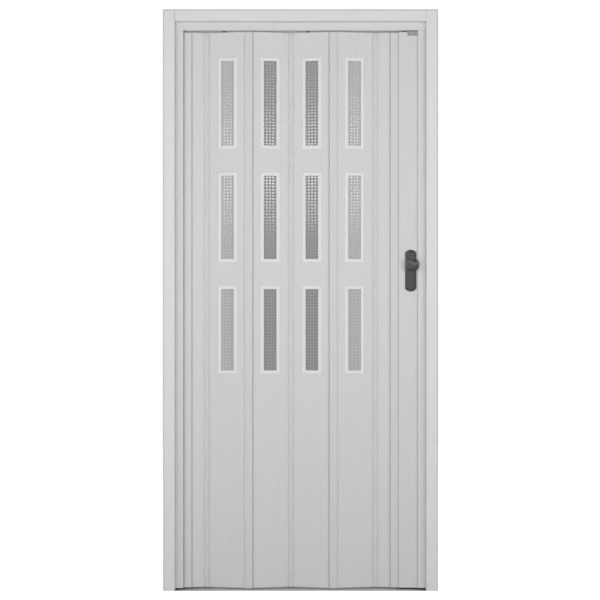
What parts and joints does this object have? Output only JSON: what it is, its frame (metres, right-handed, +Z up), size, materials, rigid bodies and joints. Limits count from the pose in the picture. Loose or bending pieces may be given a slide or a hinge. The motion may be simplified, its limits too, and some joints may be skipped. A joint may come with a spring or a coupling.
{
  "type": "accordion door",
  "caption": "White accordion door in a casing: hinged hollow panels with framed windows fold along a top track, behind a lead post with a hook latch and grips.",
  "frame": {"origin": "on the floor, in the middle of the casing's width and depth", "axes": "+X to the right seen from the front, -Y towards the viewer in front, +Z up"},
  "size_m": [0.9706, 0.0912, 2.0503],
  "materials": {
    "casing_white": "satin white",
    "panel_white": "fine grained white",
    "track_white": "white lacquer",
    "window_frame_white": "smooth white",
    "pane_grey": "patterned, translucent",
    "handle_graphite": "satin graphite",
    "trolley_black": "moulded black",
    "steel_plain": "bright zinc"
  },
  "bodies": {
    "frame": {"casing_left": "casing_white", "casing_right": "casing_white", "casing_head": "casing_white", "track": "track_white", "channel_left": "panel_white", "channel_right": "panel_white", "strike_plate": "steel_plain", "hinge_strip_0": "panel_white"},
    "half_left": {"half_panel_left": "panel_white"},
    "strip_1": {"hinge_strip_1": "panel_white"},
    "leaf_1": {"panel_1": "panel_white", "pane_1": "pane_grey", "bead_front_1_top": "window_frame_white", "bead_front_1_middle": "window_frame_white", "bead_front_1_bottom": "window_frame_white", "bead_rear_1_top": "window_frame_white", "bead_rear_1_middle": "window_frame_white", "bead_rear_1_bottom": "window_frame_white"},
    "strip_2": {"hinge_strip_2": "panel_white"},
    "leaf_2": {"panel_2": "panel_white", "pane_2": "pane_grey", "bead_front_2_top": "window_frame_white", "bead_front_2_middle": "window_frame_white", "bead_front_2_bottom": "window_frame_white", "bead_rear_2_top": "window_frame_white", "bead_rear_2_middle": "window_frame_white", "bead_rear_2_bottom": "window_frame_white"},
    "strip_3": {"hinge_strip_3": "panel_white"},
    "leaf_3": {"panel_3": "panel_white", "pane_3": "pane_grey", "bead_front_3_top": "window_frame_white", "bead_front_3_middle": "window_frame_white", "bead_front_3_bottom": "window_frame_white", "bead_rear_3_top": "window_frame_white", "bead_rear_3_middle": "window_frame_white", "bead_rear_3_bottom": "window_frame_white"},
    "strip_4": {"hinge_strip_4": "panel_white"},
    "leaf_4": {"panel_4": "panel_white", "pane_4": "pane_grey", "bead_front_4_top": "window_frame_white", "bead_front_4_middle": "window_frame_white", "bead_front_4_bottom": "window_frame_white", "bead_rear_4_top": "window_frame_white", "bead_rear_4_middle": "window_frame_white", "bead_rear_4_bottom": "window_frame_white"},
    "strip_5": {"hinge_strip_5": "panel_white"},
    "half_right": {"half_panel_right": "panel_white"},
    "lead": {"hinge_strip_6": "panel_white", "lead_post": "panel_white", "lead_hanger": "steel_plain", "front_plate": "handle_graphite", "rear_plate": "handle_graphite"},
    "trolley_1": {"carriage_1": "trolley_black"},
    "trolley_3": {"carriage_3": "trolley_black"},
    "wheel_pair_1": {"wheels_1": "trolley_black"},
    "wheel_pair_3": {"wheels_3": "trolley_black"},
    "wheel_pair_lead": {"wheels_lead": "trolley_black"},
    "latch": {"front_lever": "handle_graphite", "rear_lever": "handle_graphite", "hook_bolt": "steel_plain"}
  },
  "joints": [
    {"name": "fold", "type": "hinge", "parent": "frame", "child": "half_left", "pos_m": [-0.3955, 0, 0.005], "axis": [0, 0, 1], "range_deg": [0, 70]},
    {"name": "fold_strip_1", "type": "hinge", "parent": "half_left", "child": "strip_1", "pos_m": [-0.33838, 0.01007, 0.005], "axis": [0, 0, 1], "range_deg": [-70, 0]},
    {"name": "fold_leaf_1", "type": "hinge", "parent": "strip_1", "child": "leaf_1", "pos_m": [-0.32838, 0.01007, 0.005], "axis": [0, 0, 1], "range_deg": [-70, 0]},
    {"name": "fold_strip_2", "type": "hinge", "parent": "leaf_1", "child": "strip_2", "pos_m": [-0.18854, -0.01459, 0.005], "axis": [0, 0, 1], "range_deg": [0, 70]},
    {"name": "fold_leaf_2", "type": "hinge", "parent": "strip_2", "child": "leaf_2", "pos_m": [-0.17854, -0.01459, 0.005], "axis": [0, 0, 1], "range_deg": [0, 70]},
    {"name": "fold_strip_3", "type": "hinge", "parent": "leaf_2", "child": "strip_3", "pos_m": [-0.0387, 0.01007, 0.005], "axis": [0, 0, 1], "range_deg": [-70, 0]},
    {"name": "fold_leaf_3", "type": "hinge", "parent": "strip_3", "child": "leaf_3", "pos_m": [-0.0287, 0.01007, 0.005], "axis": [0, 0, 1], "range_deg": [-70, 0]},
    {"name": "fold_strip_4", "type": "hinge", "parent": "leaf_3", "child": "strip_4", "pos_m": [0.11114, -0.01459, 0.005], "axis": [0, 0, 1], "range_deg": [0, 70]},
    {"name": "fold_leaf_4", "type": "hinge", "parent": "strip_4", "child": "leaf_4", "pos_m": [0.12114, -0.01459, 0.005], "axis": [0, 0, 1], "range_deg": [0, 70]},
    {"name": "fold_strip_5", "type": "hinge", "parent": "leaf_4", "child": "strip_5", "pos_m": [0.26098, 0.01007, 0.005], "axis": [0, 0, 1], "range_deg": [-70, 0]},
    {"name": "fold_half_right", "type": "hinge", "parent": "strip_5", "child": "half_right", "pos_m": [0.27098, 0.01007, 0.005], "axis": [0, 0, 1], "range_deg": [-70, 0]},
    {"name": "fold_lead", "type": "hinge", "parent": "half_right", "child": "lead", "pos_m": [0.3281, 0, 0.005], "axis": [0, 0, 1], "range_deg": [0, 70]},
    {"name": "swivel_trolley_1", "type": "hinge", "parent": "leaf_1", "child": "trolley_1", "pos_m": [-0.27126, 0, 0.005], "axis": [0, 0, 1], "range_deg": [0, 70]},
    {"name": "roll_1", "type": "hinge", "parent": "trolley_1", "child": "wheel_pair_1", "pos_m": [-0.27126, 0, 1.9903], "axis": [0, 1, 0], "continuous": true},
    {"name": "swivel_trolley_3", "type": "hinge", "parent": "leaf_3", "child": "trolley_3", "pos_m": [0.02842, 0, 0.005], "axis": [0, 0, 1], "range_deg": [0, 70]},
    {"name": "roll_3", "type": "hinge", "parent": "trolley_3", "child": "wheel_pair_3", "pos_m": [0.02842, 0, 1.9903], "axis": [0, 1, 0], "continuous": true},
    {"name": "roll_lead", "type": "hinge", "parent": "lead", "child": "wheel_pair_lead", "pos_m": [0.3686, 0, 1.9903], "axis": [0, 1, 0], "continuous": true},
    {"name": "latch_turn", "type": "hinge", "parent": "lead", "child": "latch", "pos_m": [0.3906, 0, 1.15], "axis": [0, 1, 0], "range_deg": [0, 65]}
  ],
  "couplings": [
    {"joint": "fold_strip_1", "follows": "fold", "ratio": -1},
    {"joint": "fold_leaf_1", "follows": "fold", "ratio": -1},
    {"joint": "fold_strip_2", "follows": "fold", "ratio": 1},
    {"joint": "fold_leaf_2", "follows": "fold", "ratio": 1},
    {"joint": "fold_strip_3", "follows": "fold", "ratio": -1},
    {"joint": "fold_leaf_3", "follows": "fold", "ratio": -1},
    {"joint": "fold_strip_4", "follows": "fold", "ratio": 1},
    {"joint": "fold_leaf_4", "follows": "fold", "ratio": 1},
    {"joint": "fold_strip_5", "follows": "fold", "ratio": -1},
    {"joint": "fold_half_right", "follows": "fold", "ratio": -1},
    {"joint": "fold_lead", "follows": "fold", "ratio": 1},
    {"joint": "swivel_trolley_1", "follows": "fold", "ratio": 1},
    {"joint": "swivel_trolley_3", "follows": "fold", "ratio": 1}
  ]
}
